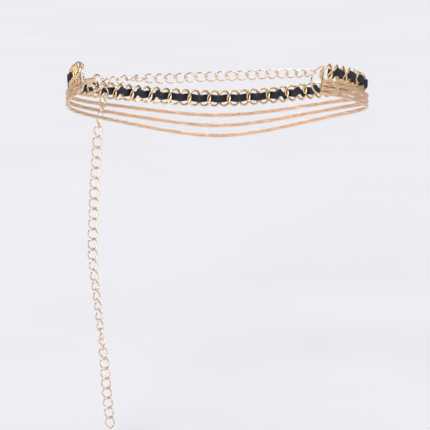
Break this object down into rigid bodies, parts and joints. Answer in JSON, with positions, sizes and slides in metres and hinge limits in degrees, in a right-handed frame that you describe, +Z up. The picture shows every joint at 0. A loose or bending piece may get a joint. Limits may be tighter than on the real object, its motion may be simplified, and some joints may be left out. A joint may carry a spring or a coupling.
{
  "type": "waist chain",
  "caption": "Adjustable waist chain: broad curb chain with woven leather and fine strands round the front, thin open curb chain with lobster clasp and hanging tail at the back.",
  "frame": {"origin": "middle of the waist that the loop goes round, at the height of the chain across the back", "axes": "+Z up, -Y the wearer's back, +Y the front, -X the wearer's left, where the clasp and the tail are"},
  "size_m": [0.2818, 0.2085, 0.3307],
  "materials": {
    "clasp": "polished, gold plated",
    "thin_gold": "polished, pale rose gold plated",
    "broad_gold": "polished, yellow gold plated",
    "rose_gold": "polished, rose gold plated",
    "leather": "matt, fine grain"
  },
  "bodies": {
    "chain": {"clasp_body": "clasp", "clasp_ring": "clasp", "hook_link": "thin_gold", "back_chain": "thin_gold", "tail_chain": "thin_gold", "end_ring_left": "clasp", "end_ring_right": "clasp", "woven_chain": "broad_gold", "leather_strap": "leather", "strand_1": "rose_gold", "strand_2": "rose_gold", "strand_3": "rose_gold"},
    "lever": {"clasp_lever": "clasp"}
  },
  "joints": [
    {"name": "lever_hinge", "type": "hinge", "parent": "chain", "child": "lever", "pos_m": [-0.10838, -0.06822, -0.01519], "axis": [-0.6827, -0.7307, 0], "range_deg": [0, 18], "stiffness_Nm_per_rad": 0.002, "springref_deg": -11.46}
  ]
}
